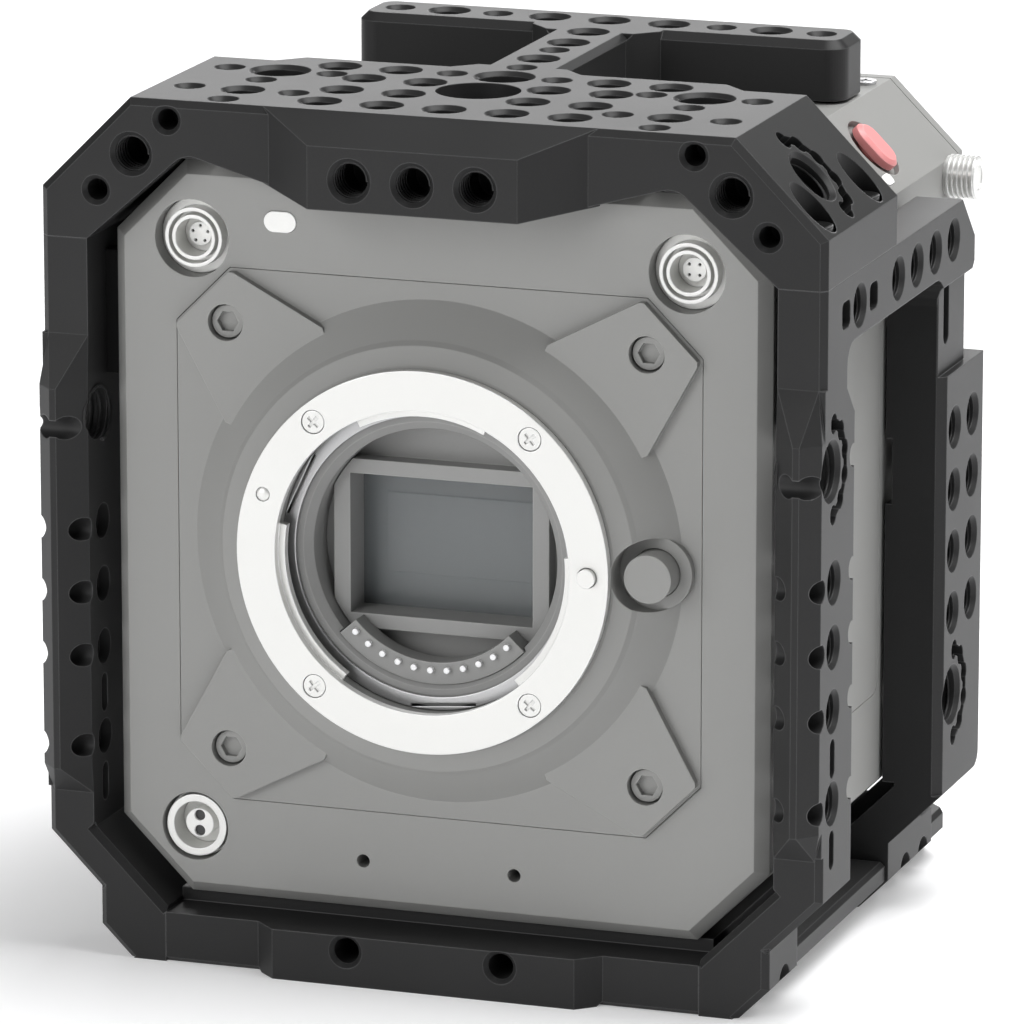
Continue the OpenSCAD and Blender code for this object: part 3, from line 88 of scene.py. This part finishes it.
def make_grain():
    """Fine blasted grain with slow patches of tone."""
    tree, start, end = group("blasted_grain",
        [("Vector", "NodeSocketVector", None), ("Grain", "NodeSocketFloat", 3500.0),
         ("Patches", "NodeSocketFloat", 30.0)],
        [("Tone", "NodeSocketFloat"), ("Height", "NodeSocketFloat")])
    fine = tree.nodes.new("ShaderNodeTexNoise")
    fine.inputs["Detail"].default_value = 2.0
    slow = tree.nodes.new("ShaderNodeTexNoise")
    slow.inputs["Detail"].default_value = 3.0
    for noise, scale in ((fine, "Grain"), (slow, "Patches")):
        tree.links.new(start.outputs["Vector"], noise.inputs["Vector"])
        tree.links.new(start.outputs[scale], noise.inputs["Scale"])
    mixed = math_node(tree, "MULTIPLY_ADD", fine.outputs["Fac"], 0.45, -0.22)
    tone = math_node(tree, "MULTIPLY_ADD", slow.outputs["Fac"], 0.6, mixed)
    tree.links.new(math_node(tree, "ADD", tone, 0.0, clamp=True), end.inputs["Tone"])
    tree.links.new(fine.outputs["Fac"], end.inputs["Height"])
    return tree


def make_edges():
    """Softened edges, and a mask of where they are."""
    tree, start, end = group("soft_edges", [("Radius", "NodeSocketFloat", 0.0003)],
        [("Mask", "NodeSocketFloat"), ("Normal", "NodeSocketVector")])
    bevel = tree.nodes.new("ShaderNodeBevel")
    bevel.samples = 6
    tree.links.new(start.outputs["Radius"], bevel.inputs["Radius"])
    surface = tree.nodes.new("ShaderNodeNewGeometry")
    dot = tree.nodes.new("ShaderNodeVectorMath")
    dot.operation = "DOT_PRODUCT"
    tree.links.new(bevel.outputs["Normal"], dot.inputs[0])
    tree.links.new(surface.outputs["Normal"], dot.inputs[1])
    turn = math_node(tree, "SUBTRACT", 1.0, dot.outputs["Value"])
    # this mask places the painted edge highlight and wear in each finish
    tree.links.new(math_node(tree, "MULTIPLY", turn, 6.0, clamp=True), end.inputs["Mask"])
    tree.links.new(bevel.outputs["Normal"], end.inputs["Normal"])
    return tree


GRAIN_SCALE = 3500.0
GRAIN_DEPTH = 0.00003
GRAIN = make_grain()
EDGES = make_edges()


def finish(name, dark, light, edge_highlight_and_wear_tone, rough, rough_change=0.12, metal=0.0, bump=0.08,
           radius=0.0003, alpha=1.0, specular=0.5):
    """A finish whose tone runs from dark to light with the grain, with a lighter tone painted on
    edges: a painted highlight, partly wear.
    """
    material = bpy.data.materials.new(name)
    material.use_nodes = True
    tree = material.node_tree
    shader = tree.nodes["Principled BSDF"]
    place = tree.nodes.new("ShaderNodeTexCoord")
    grained = tree.nodes.new("ShaderNodeGroup")
    grained.node_tree = GRAIN
    grained.inputs["Grain"].default_value = GRAIN_SCALE
    tree.links.new(place.outputs["Object"], grained.inputs["Vector"])
    edges = tree.nodes.new("ShaderNodeGroup")
    edges.node_tree = EDGES
    edges.inputs["Radius"].default_value = radius
    tones = tree.nodes.new("ShaderNodeMix")
    tones.data_type = "RGBA"
    tones.inputs["A"].default_value = (*dark, 1)
    tones.inputs["B"].default_value = (*light, 1)
    tree.links.new(grained.outputs["Tone"], tones.inputs["Factor"])
    # edges take the lighter edge tone: a painted highlight, partly wear
    painted_edge_highlight_and_wear = tree.nodes.new("ShaderNodeMix")
    painted_edge_highlight_and_wear.data_type = "RGBA"
    painted_edge_highlight_and_wear.inputs["B"].default_value = (*edge_highlight_and_wear_tone, 1)
    tree.links.new(tones.outputs["Result"], painted_edge_highlight_and_wear.inputs["A"])
    tree.links.new(edges.outputs["Mask"], painted_edge_highlight_and_wear.inputs["Factor"])
    tree.links.new(painted_edge_highlight_and_wear.outputs["Result"], shader.inputs["Base Color"])
    tree.links.new(math_node(tree, "MULTIPLY_ADD", grained.outputs["Tone"], rough_change, rough),
        shader.inputs["Roughness"])
    bumps = tree.nodes.new("ShaderNodeBump")
    bumps.inputs["Strength"].default_value = bump
    bumps.inputs["Distance"].default_value = GRAIN_DEPTH
    tree.links.new(grained.outputs["Height"], bumps.inputs["Height"])
    tree.links.new(edges.outputs["Normal"], bumps.inputs["Normal"])
    tree.links.new(bumps.outputs["Normal"], shader.inputs["Normal"])
    shader.inputs["Metallic"].default_value = metal
    shader.inputs["Alpha"].default_value = alpha
    shader.inputs["Specular IOR Level"].default_value = specular
    return material


def grey(v):
    """A grey that leans a little to blue."""
    return (v, v, v * 1.01)


# each finish's third tone is painted on its edges: a painted highlight, partly wear
FINISH = {
    "anodised": finish("black_anodised", grey(0.02), grey(0.034), grey(0.12), 0.36,
        bump=0.12, specular=0.17),
    "black_steel": finish("black_oxide", grey(0.008), grey(0.016), grey(0.08), 0.3, metal=0.3),
    "steel": finish("plain_steel", grey(0.42), grey(0.55), grey(0.7), 0.28, metal=1.0),
    "body_paint": finish("body_grey", (0.265, 0.265, 0.257), (0.29, 0.29, 0.281),
        (0.36, 0.36, 0.35), 0.5, bump=0.05),
    "plate_paint": finish("plate_grey", (0.26, 0.26, 0.252), (0.285, 0.285, 0.276),
        (0.36, 0.36, 0.35), 0.5, bump=0.05),
    "bright_metal": finish("bright_plate", (0.72, 0.72, 0.7), (0.78, 0.78, 0.76), grey(0.95), 0.28,
        metal=0.45, bump=0.02),
    "black_plastic": finish("black_plastic", grey(0.02), grey(0.035), grey(0.06), 0.5),
    "grey_plastic": finish("throat_grey", (0.27, 0.27, 0.265), (0.3, 0.3, 0.295),
        (0.4, 0.4, 0.39), 0.55, bump=0.04),
    "key_plastic": finish("key_plastic", grey(0.18), grey(0.22), grey(0.3), 0.5),
    "gold": finish("gold_plate", (0.75, 0.55, 0.25), (0.85, 0.65, 0.3), (0.95, 0.8, 0.45), 0.25,
        metal=1.0),
    "grey_steel": finish("plate_screws", grey(0.31), grey(0.34), grey(0.42), 0.45, bump=0.03),
    "silver_pins": finish("silver_pins", grey(0.9), grey(0.95), grey(0.97), 0.3,
        metal=0.2, bump=0.0),
    "dark_pins": finish("dark_pins", grey(0.03), grey(0.05), grey(0.12), 0.4, bump=0.0),
    "brass": finish("brass", (0.55, 0.4, 0.18), (0.65, 0.48, 0.22), (0.8, 0.65, 0.4), 0.35,
        metal=1.0),
    "board": finish("green_board", (0.01, 0.09, 0.04), (0.015, 0.12, 0.05), (0.1, 0.2, 0.1), 0.35),
    "sink_aluminium": finish("sink_aluminium", grey(0.5), grey(0.6), grey(0.75), 0.35, metal=1.0),
    "white_plastic": finish("white_plastic", (0.86, 0.86, 0.84), (0.92, 0.92, 0.9), grey(0.95),
        0.3),
    "red_plastic": finish("red_cap", (0.78, 0.27, 0.27), (0.84, 0.31, 0.31), (0.95, 0.5, 0.5), 0.4),
    "rubber": finish("black_rubber", grey(0.006), grey(0.01), grey(0.02), 0.85, specular=0.2),
    "coated_glass": finish("coated_glass", (0.22, 0.24, 0.25), (0.25, 0.27, 0.28), grey(0.4), 0.08,
        rough_change=0.02, bump=0.0, alpha=0.3),
    "sensor_glass": finish("sensor_cover", (0.25, 0.255, 0.25), (0.28, 0.285, 0.28), grey(0.35),
        0.2),
}
# pieces that show another finish than their material slot's
OWN_FINISH = {
    "throat_ring": "grey_plastic",
    "contact_block": "grey_plastic",
    "sensor_baffle": "grey_plastic",
    "contact_pins": "silver_pins",
    "connector_pins": "dark_pins",
    "mount_plate_screws": "plate_paint",
}
SLOT_OF = {row["node"]: row["material_slot"] for row in RECORD["subparts"]}
for node, piece in NODES.items():
    piece.data.materials.clear()
    piece.data.materials.append(FINISH[OWN_FINISH.get(node, SLOT_OF[node])])

# ---------------------------------------------------------------- threads and knurls

RIGHT, LEFT = Vector((1, 0, 0)), Vector((-1, 0, 0))
UP, FRONT = Vector((0, 0, 1)), Vector((0, -1, 0))
SMALL_R, LARGE_R = 3.175, 4.765
PITCH = 11.4
DECK_TOP = 77.5
SIDE_FACE = 71.5
RAIL_Z = 46
RIB_START = 0.7


def thread_mouths():
    """Mouth, outward direction and radius of every tapped hole that can be seen into."""
    mouths = []
    # the deck
    for i in range(-2, 3):
        mouths.append((at(i * PITCH, 12.2, DECK_TOP), UP, SMALL_R))
    for i in (-2, -1, 1, 2):
        mouths += [(at(i * PITCH, y, DECK_TOP), UP, SMALL_R) for y in (23.2, 34.3)]
    # the deck's wings, and the arch's corners
    for side in (-1, 1):
        mouths += [(at(side * x, y, DECK_TOP), UP, SMALL_R)
            for x, y in ((39, 17.5), (19.3, 43.6), (30.7, 43.6))]
        mouths.append((at(side * 39.2, 36.3, DECK_TOP), UP, LARGE_R))
        mouths.append((at(side * 54.5, 3.7, 67.7), FRONT, SMALL_R))
        tilted = Vector((side, 0, 1)).normalized()
        mouths.append((at(side * 63.624, 20, 68.776), tilted, LARGE_R))
    # the spine, the rear bar and the arch's front block
    mouths.append((at(0, 43.6, DECK_TOP), UP, LARGE_R))
    mouths += [(at(0, 49.5 + y, DECK_TOP), UP, SMALL_R) for y in (12.3, 28.7, 39.8)]
    mouths += [(at(x * PITCH, 101.25, DECK_TOP), UP, SMALL_R) for x in (-2.7, -1, 0, 1, 2.7)]
    mouths += [(at(i * PITCH, -4.2, 67.3), FRONT, SMALL_R) for i in (-1, 0, 1)]
    # the side plates: front post, rail and rear post
    for side, way in ((1, RIGHT), (-1, LEFT)):
        x = side * SIDE_FACE
        mouths += [(at(x, 9.45, z), way, SMALL_R) for z in (0.4, -11.0, -22.4, -38.8)]
        mouths.append((at(x, 7.3, 20.4), way, LARGE_R))
        mouths += [(at(x, 46.3 + i * PITCH, RAIL_Z), way, SMALL_R) for i in range(4)]
        mouths.append((at(x, 23.3, RAIL_Z), way, SMALL_R))
        mouths += [(at(x, y, PITCH * (1 - i)), way, SMALL_R)
            for i in range(4) for y in (82.7, 94.1)]
        mouths.append((at(x, 82.7, -38), way, LARGE_R))
    return mouths


def ribs_tree(name):
    """Geometry nodes: a spiral rib of triangular section on every point, along its direction."""
    tree = bpy.data.node_groups.new(name, "GeometryNodeTree")
    geometry = "NodeSocketGeometry"
    sockets = {}
    sockets["Geometry"] = tree.interface.new_socket("Geometry", in_out="INPUT", socket_type=geometry)
    for label, kind, value in (("Turns", "NodeSocketFloat", 5.0), ("Pitch", "NodeSocketFloat", 0.37),
            ("Profile", "NodeSocketFloat", 0.11), ("Finish", "NodeSocketMaterial", None)):
        socket = tree.interface.new_socket(label, in_out="INPUT", socket_type=kind)
        if value is not None:
            socket.default_value = value
        sockets[label] = socket
    tree.interface.new_socket("Geometry", in_out="OUTPUT", socket_type=geometry)
    start, end = tree.nodes.new("NodeGroupInput"), tree.nodes.new("NodeGroupOutput")

    def link(a, b):
        tree.links.new(a, b)

    spiral = tree.nodes.new("GeometryNodeCurveSpiral")
    spiral.inputs["Resolution"].default_value = 20
    spiral.inputs["Start Radius"].default_value = 1.0
    spiral.inputs["End Radius"].default_value = 1.0
    link(start.outputs["Turns"], spiral.inputs["Rotations"])
    link(math_node(tree, "MULTIPLY", start.outputs["Turns"], start.outputs["Pitch"]),
        spiral.inputs["Height"])
    section = tree.nodes.new("GeometryNodeCurvePrimitiveCircle")
    section.inputs["Resolution"].default_value = 3
    link(start.outputs["Profile"], section.inputs["Radius"])
    swept = tree.nodes.new("GeometryNodeCurveToMesh")
    link(spiral.outputs["Curve"], swept.inputs["Curve"])
    link(section.outputs["Curve"], swept.inputs["Profile Curve"])
    swept.inputs["Fill Caps"].default_value = True
    points = tree.nodes.new("GeometryNodeInstanceOnPoints")
    link(start.outputs["Geometry"], points.inputs["Points"])
    link(swept.outputs["Mesh"], points.inputs["Instance"])
    inward = tree.nodes.new("GeometryNodeInputNamedAttribute")
    inward.data_type = "FLOAT_VECTOR"
    inward.inputs["Name"].default_value = "inward"
    turn = tree.nodes.new("FunctionNodeAlignEulerToVector")
    turn.axis = "Z"
    link(inward.outputs["Attribute"], turn.inputs["Vector"])
    link(turn.outputs["Rotation"], points.inputs["Rotation"])
    size = tree.nodes.new("GeometryNodeInputNamedAttribute")
    size.data_type = "FLOAT"
    size.inputs["Name"].default_value = "size"
    link(size.outputs["Attribute"], points.inputs["Scale"])
    real = tree.nodes.new("GeometryNodeRealizeInstances")
    link(points.outputs["Instances"], real.inputs["Geometry"])
    coated = tree.nodes.new("GeometryNodeSetMaterial")
    link(real.outputs["Geometry"], coated.inputs["Geometry"])
    link(start.outputs["Finish"], coated.inputs["Material"])
    link(coated.outputs["Geometry"], end.inputs["Geometry"])
    return tree, {label: socket.identifier for label, socket in sockets.items()}


def thread_ribs(name, mouths, material, turns, pitch, profile):
    """Spiral ribs down each mouth; pitch and profile are shares of the hole's radius."""
    mesh = bpy.data.meshes.new(name)
    mesh.from_pydata([tuple(place - way * RIB_START * MM) for place, way, _ in mouths], [], [])
    mesh.attributes.new("inward", "FLOAT_VECTOR", "POINT")
    mesh.attributes.new("size", "FLOAT", "POINT")
    # fetched by name, because adding an attribute can move the others in memory
    for i, (_, way, radius) in enumerate(mouths):
        mesh.attributes["inward"].data[i].vector = -way
        mesh.attributes["size"].data[i].value = radius * MM
    piece = bpy.data.objects.new(name, mesh)
    bpy.context.collection.objects.link(piece)
    tree, sockets = ribs_tree(name + "_nodes")
    ribs = piece.modifiers.new("ribs", "NODES")
    ribs.node_group = tree
    settings = {"Turns": turns, "Pitch": pitch, "Profile": profile, "Finish": material}
    for label, value in settings.items():
        ribs[sockets[label]] = value
    bpy.context.view_layer.update()
    evaluated = piece.evaluated_get(bpy.context.evaluated_depsgraph_get())
    shaped = bpy.data.meshes.new_from_object(evaluated)
    piece.modifiers.remove(ribs)
    piece.data = shaped
    shaped.name = name
    return piece


ribs = thread_ribs("thread_ribs", thread_mouths(), FINISH["anodised"],
    turns=5.0, pitch=0.37, profile=0.1)
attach(ribs, "rig")


def lathe(name, start, way, outline, steps, material):
    """A turned piece: outline is pairs of (distance along the way, radius) in millimetres."""
    way = way.normalized()
    side = way.cross(Vector((0, 0, 1)) if abs(way.z) < 0.9 else Vector((1, 0, 0))).normalized()
    over = way.cross(side)
    shape = bmesh.new()
    rings = []
    for along, radius in outline:
        centre = start + way * along * MM
        rings.append([
            shape.verts.new(centre + (side * math.cos(t) + over * math.sin(t)) * radius * MM)
            for t in (2 * math.pi * k / steps for k in range(steps))])
    for low, high in zip(rings, rings[1:]):
        for k in range(steps):
            shape.faces.new((low[k], low[(k + 1) % steps], high[(k + 1) % steps], high[k]))
    shape.faces.new(list(reversed(rings[0])))
    shape.faces.new(rings[-1])
    bmesh.ops.recalc_face_normals(shape, faces=shape.faces)
    mesh = bpy.data.meshes.new(name)
    shape.to_mesh(mesh)
    shape.free()
    mesh.materials.append(material)
    piece = bpy.data.objects.new(name, mesh)
    bpy.context.collection.objects.link(piece)
    return piece


def join(name, pieces):
    """One mesh from several turned pieces."""
    shape = bmesh.new()
    for piece in pieces:
        shape.from_mesh(piece.data)
    mesh = bpy.data.meshes.new(name)
    shape.to_mesh(mesh)
    shape.free()
    for material in pieces[0].data.materials:
        mesh.materials.append(material)
    for piece in pieces:
        bpy.data.objects.remove(piece)
    whole = bpy.data.objects.new(name, mesh)
    bpy.context.collection.objects.link(whole)
    return whole


KNURLS, KNURL_PITCH, KNURL_LENGTH = 6, 0.92, 5.35
KNURL_OUTLINE = ((0, 3.6), (0.12, 4.0), (0.5, 4.0), (0.62, 3.6))
barrel_low, barrel_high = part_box("antenna_connector")
barrel_end = Vector((barrel_high[0], (barrel_low[1] + barrel_high[1]) / 2,
    (barrel_low[2] + barrel_high[2]) / 2))
rings = []
for i in range(KNURLS):
    start = barrel_end + RIGHT * (i * KNURL_PITCH - KNURL_LENGTH) * MM
    rings.append(lathe("ring", start, RIGHT, KNURL_OUTLINE, 40, FINISH["bright_metal"]))
knurl = join("antenna_ribs", rings)
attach(knurl, "rig")

STUD_CIRCLE, STUD_ANGLE = 30.78, math.radians(19)
STUD_OUTLINE = ((0, 1.25), (0.35, 1.2), (0.55, 0.9), (0.65, 0.5), (0.68, 0.05))
stud_place = at(-STUD_CIRCLE * math.cos(STUD_ANGLE), 0.48, STUD_CIRCLE * math.sin(STUD_ANGLE))
stud = lathe("index_stud", stud_place, FRONT, STUD_OUTLINE, 28, FINISH["bright_metal"])
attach(stud, "rig")

# ---------------------------------------------------------------- camera and light

CAMERA_PLACE = at(467.9, -1293.7, 348.1)
CAMERA_RIGHT = Vector((0.9442, 0.3294, 0.0))
CAMERA_BACK = Vector((0.3198, -0.9168, 0.2392)).normalized()
SEEN_SKY, LIGHTING_SKY = 1.0, 0.1

camera = bpy.data.objects.new("camera", bpy.data.cameras.new("camera"))
bpy.context.collection.objects.link(camera)
camera.data.lens = 289.4
camera.data.sensor_width = 36.0
camera.data.clip_start, camera.data.clip_end = 0.01, 30.0
up = CAMERA_BACK.cross(CAMERA_RIGHT).normalized()
right = up.cross(CAMERA_BACK)
camera.matrix_world = Matrix((
    (right.x, up.x, CAMERA_BACK.x, CAMERA_PLACE.x),
    (right.y, up.y, CAMERA_BACK.y, CAMERA_PLACE.y),
    (right.z, up.z, CAMERA_BACK.z, CAMERA_PLACE.z),
    (0, 0, 0, 1)))
bpy.context.scene.camera = camera

# the sky is white to the camera, and dim to everything else
world = bpy.data.worlds.new("studio")
world.use_nodes = True
bpy.context.scene.world = world
sky = world.node_tree
paper = sky.nodes["Background"]
paper.inputs["Color"].default_value = (1, 1, 1, 1)
paper.inputs["Strength"].default_value = SEEN_SKY
soft = sky.nodes.new("ShaderNodeBackground")
soft.inputs["Color"].default_value = (1, 1, 1, 1)
soft.inputs["Strength"].default_value = LIGHTING_SKY
rays = sky.nodes.new("ShaderNodeLightPath")
both = sky.nodes.new("ShaderNodeMixShader")
sky.links.new(rays.outputs["Is Camera Ray"], both.inputs["Fac"])
sky.links.new(soft.outputs["Background"], both.inputs[1])
sky.links.new(paper.outputs["Background"], both.inputs[2])
sky.links.new(both.outputs["Shader"], sky.nodes["World Output"].inputs["Surface"])
bpy.context.scene.view_settings.view_transform = "Standard"


def softbox(name, place, aim, width, height, power):
    """A rectangular lamp at a place, turned towards its aim."""
    lamp = bpy.data.lights.new(name, "AREA")
    lamp.shape = "RECTANGLE"
    lamp.size, lamp.size_y, lamp.energy = width, height, power
    box = bpy.data.objects.new(name, lamp)
    bpy.context.collection.objects.link(box)
    box.location = place
    box.rotation_euler = (Vector(aim) - Vector(place)).to_track_quat("-Z", "Y").to_euler()


softbox("key_right", (1.3, 0.1, 0.9), (0, 0, 0.08), 1.0, 1.0, 5.0)
softbox("top", (0.45, 0.25, 1.45), (0, 0, 0.1), 1.1, 1.1, 30.0)
softbox("front_left", (-0.8, -1.5, 0.7), (0, 0, 0.07), 1.3, 1.3, 17.0)
softbox("behind", (-0.4, 1.6, 0.55), (0, 0, 0.12), 1.2, 0.6, 6.0)

FLOOR_REACH = 6
FLOOR_GLOW = 0.22
corners = [(x * FLOOR_REACH, y * FLOOR_REACH, 0) for x, y in ((-1, -1), (1, -1), (1, 1), (-1, 1))]
sheet_mesh = bpy.data.meshes.new("floor")
sheet_mesh.from_pydata(corners, [], [(0, 1, 2, 3)])
floor = bpy.data.objects.new("floor", sheet_mesh)
bpy.context.collection.objects.link(floor)
paper_white = finish("white_paper", grey(0.86), grey(0.9), grey(0.9), 0.9,
    bump=0.0, radius=0.00001)
paper_shader = paper_white.node_tree.nodes["Principled BSDF"]
paper_shader.inputs["Emission Color"].default_value = (1, 1, 1, 1)
paper_shader.inputs["Emission Strength"].default_value = FLOOR_GLOW
floor.data.materials.append(paper_white)
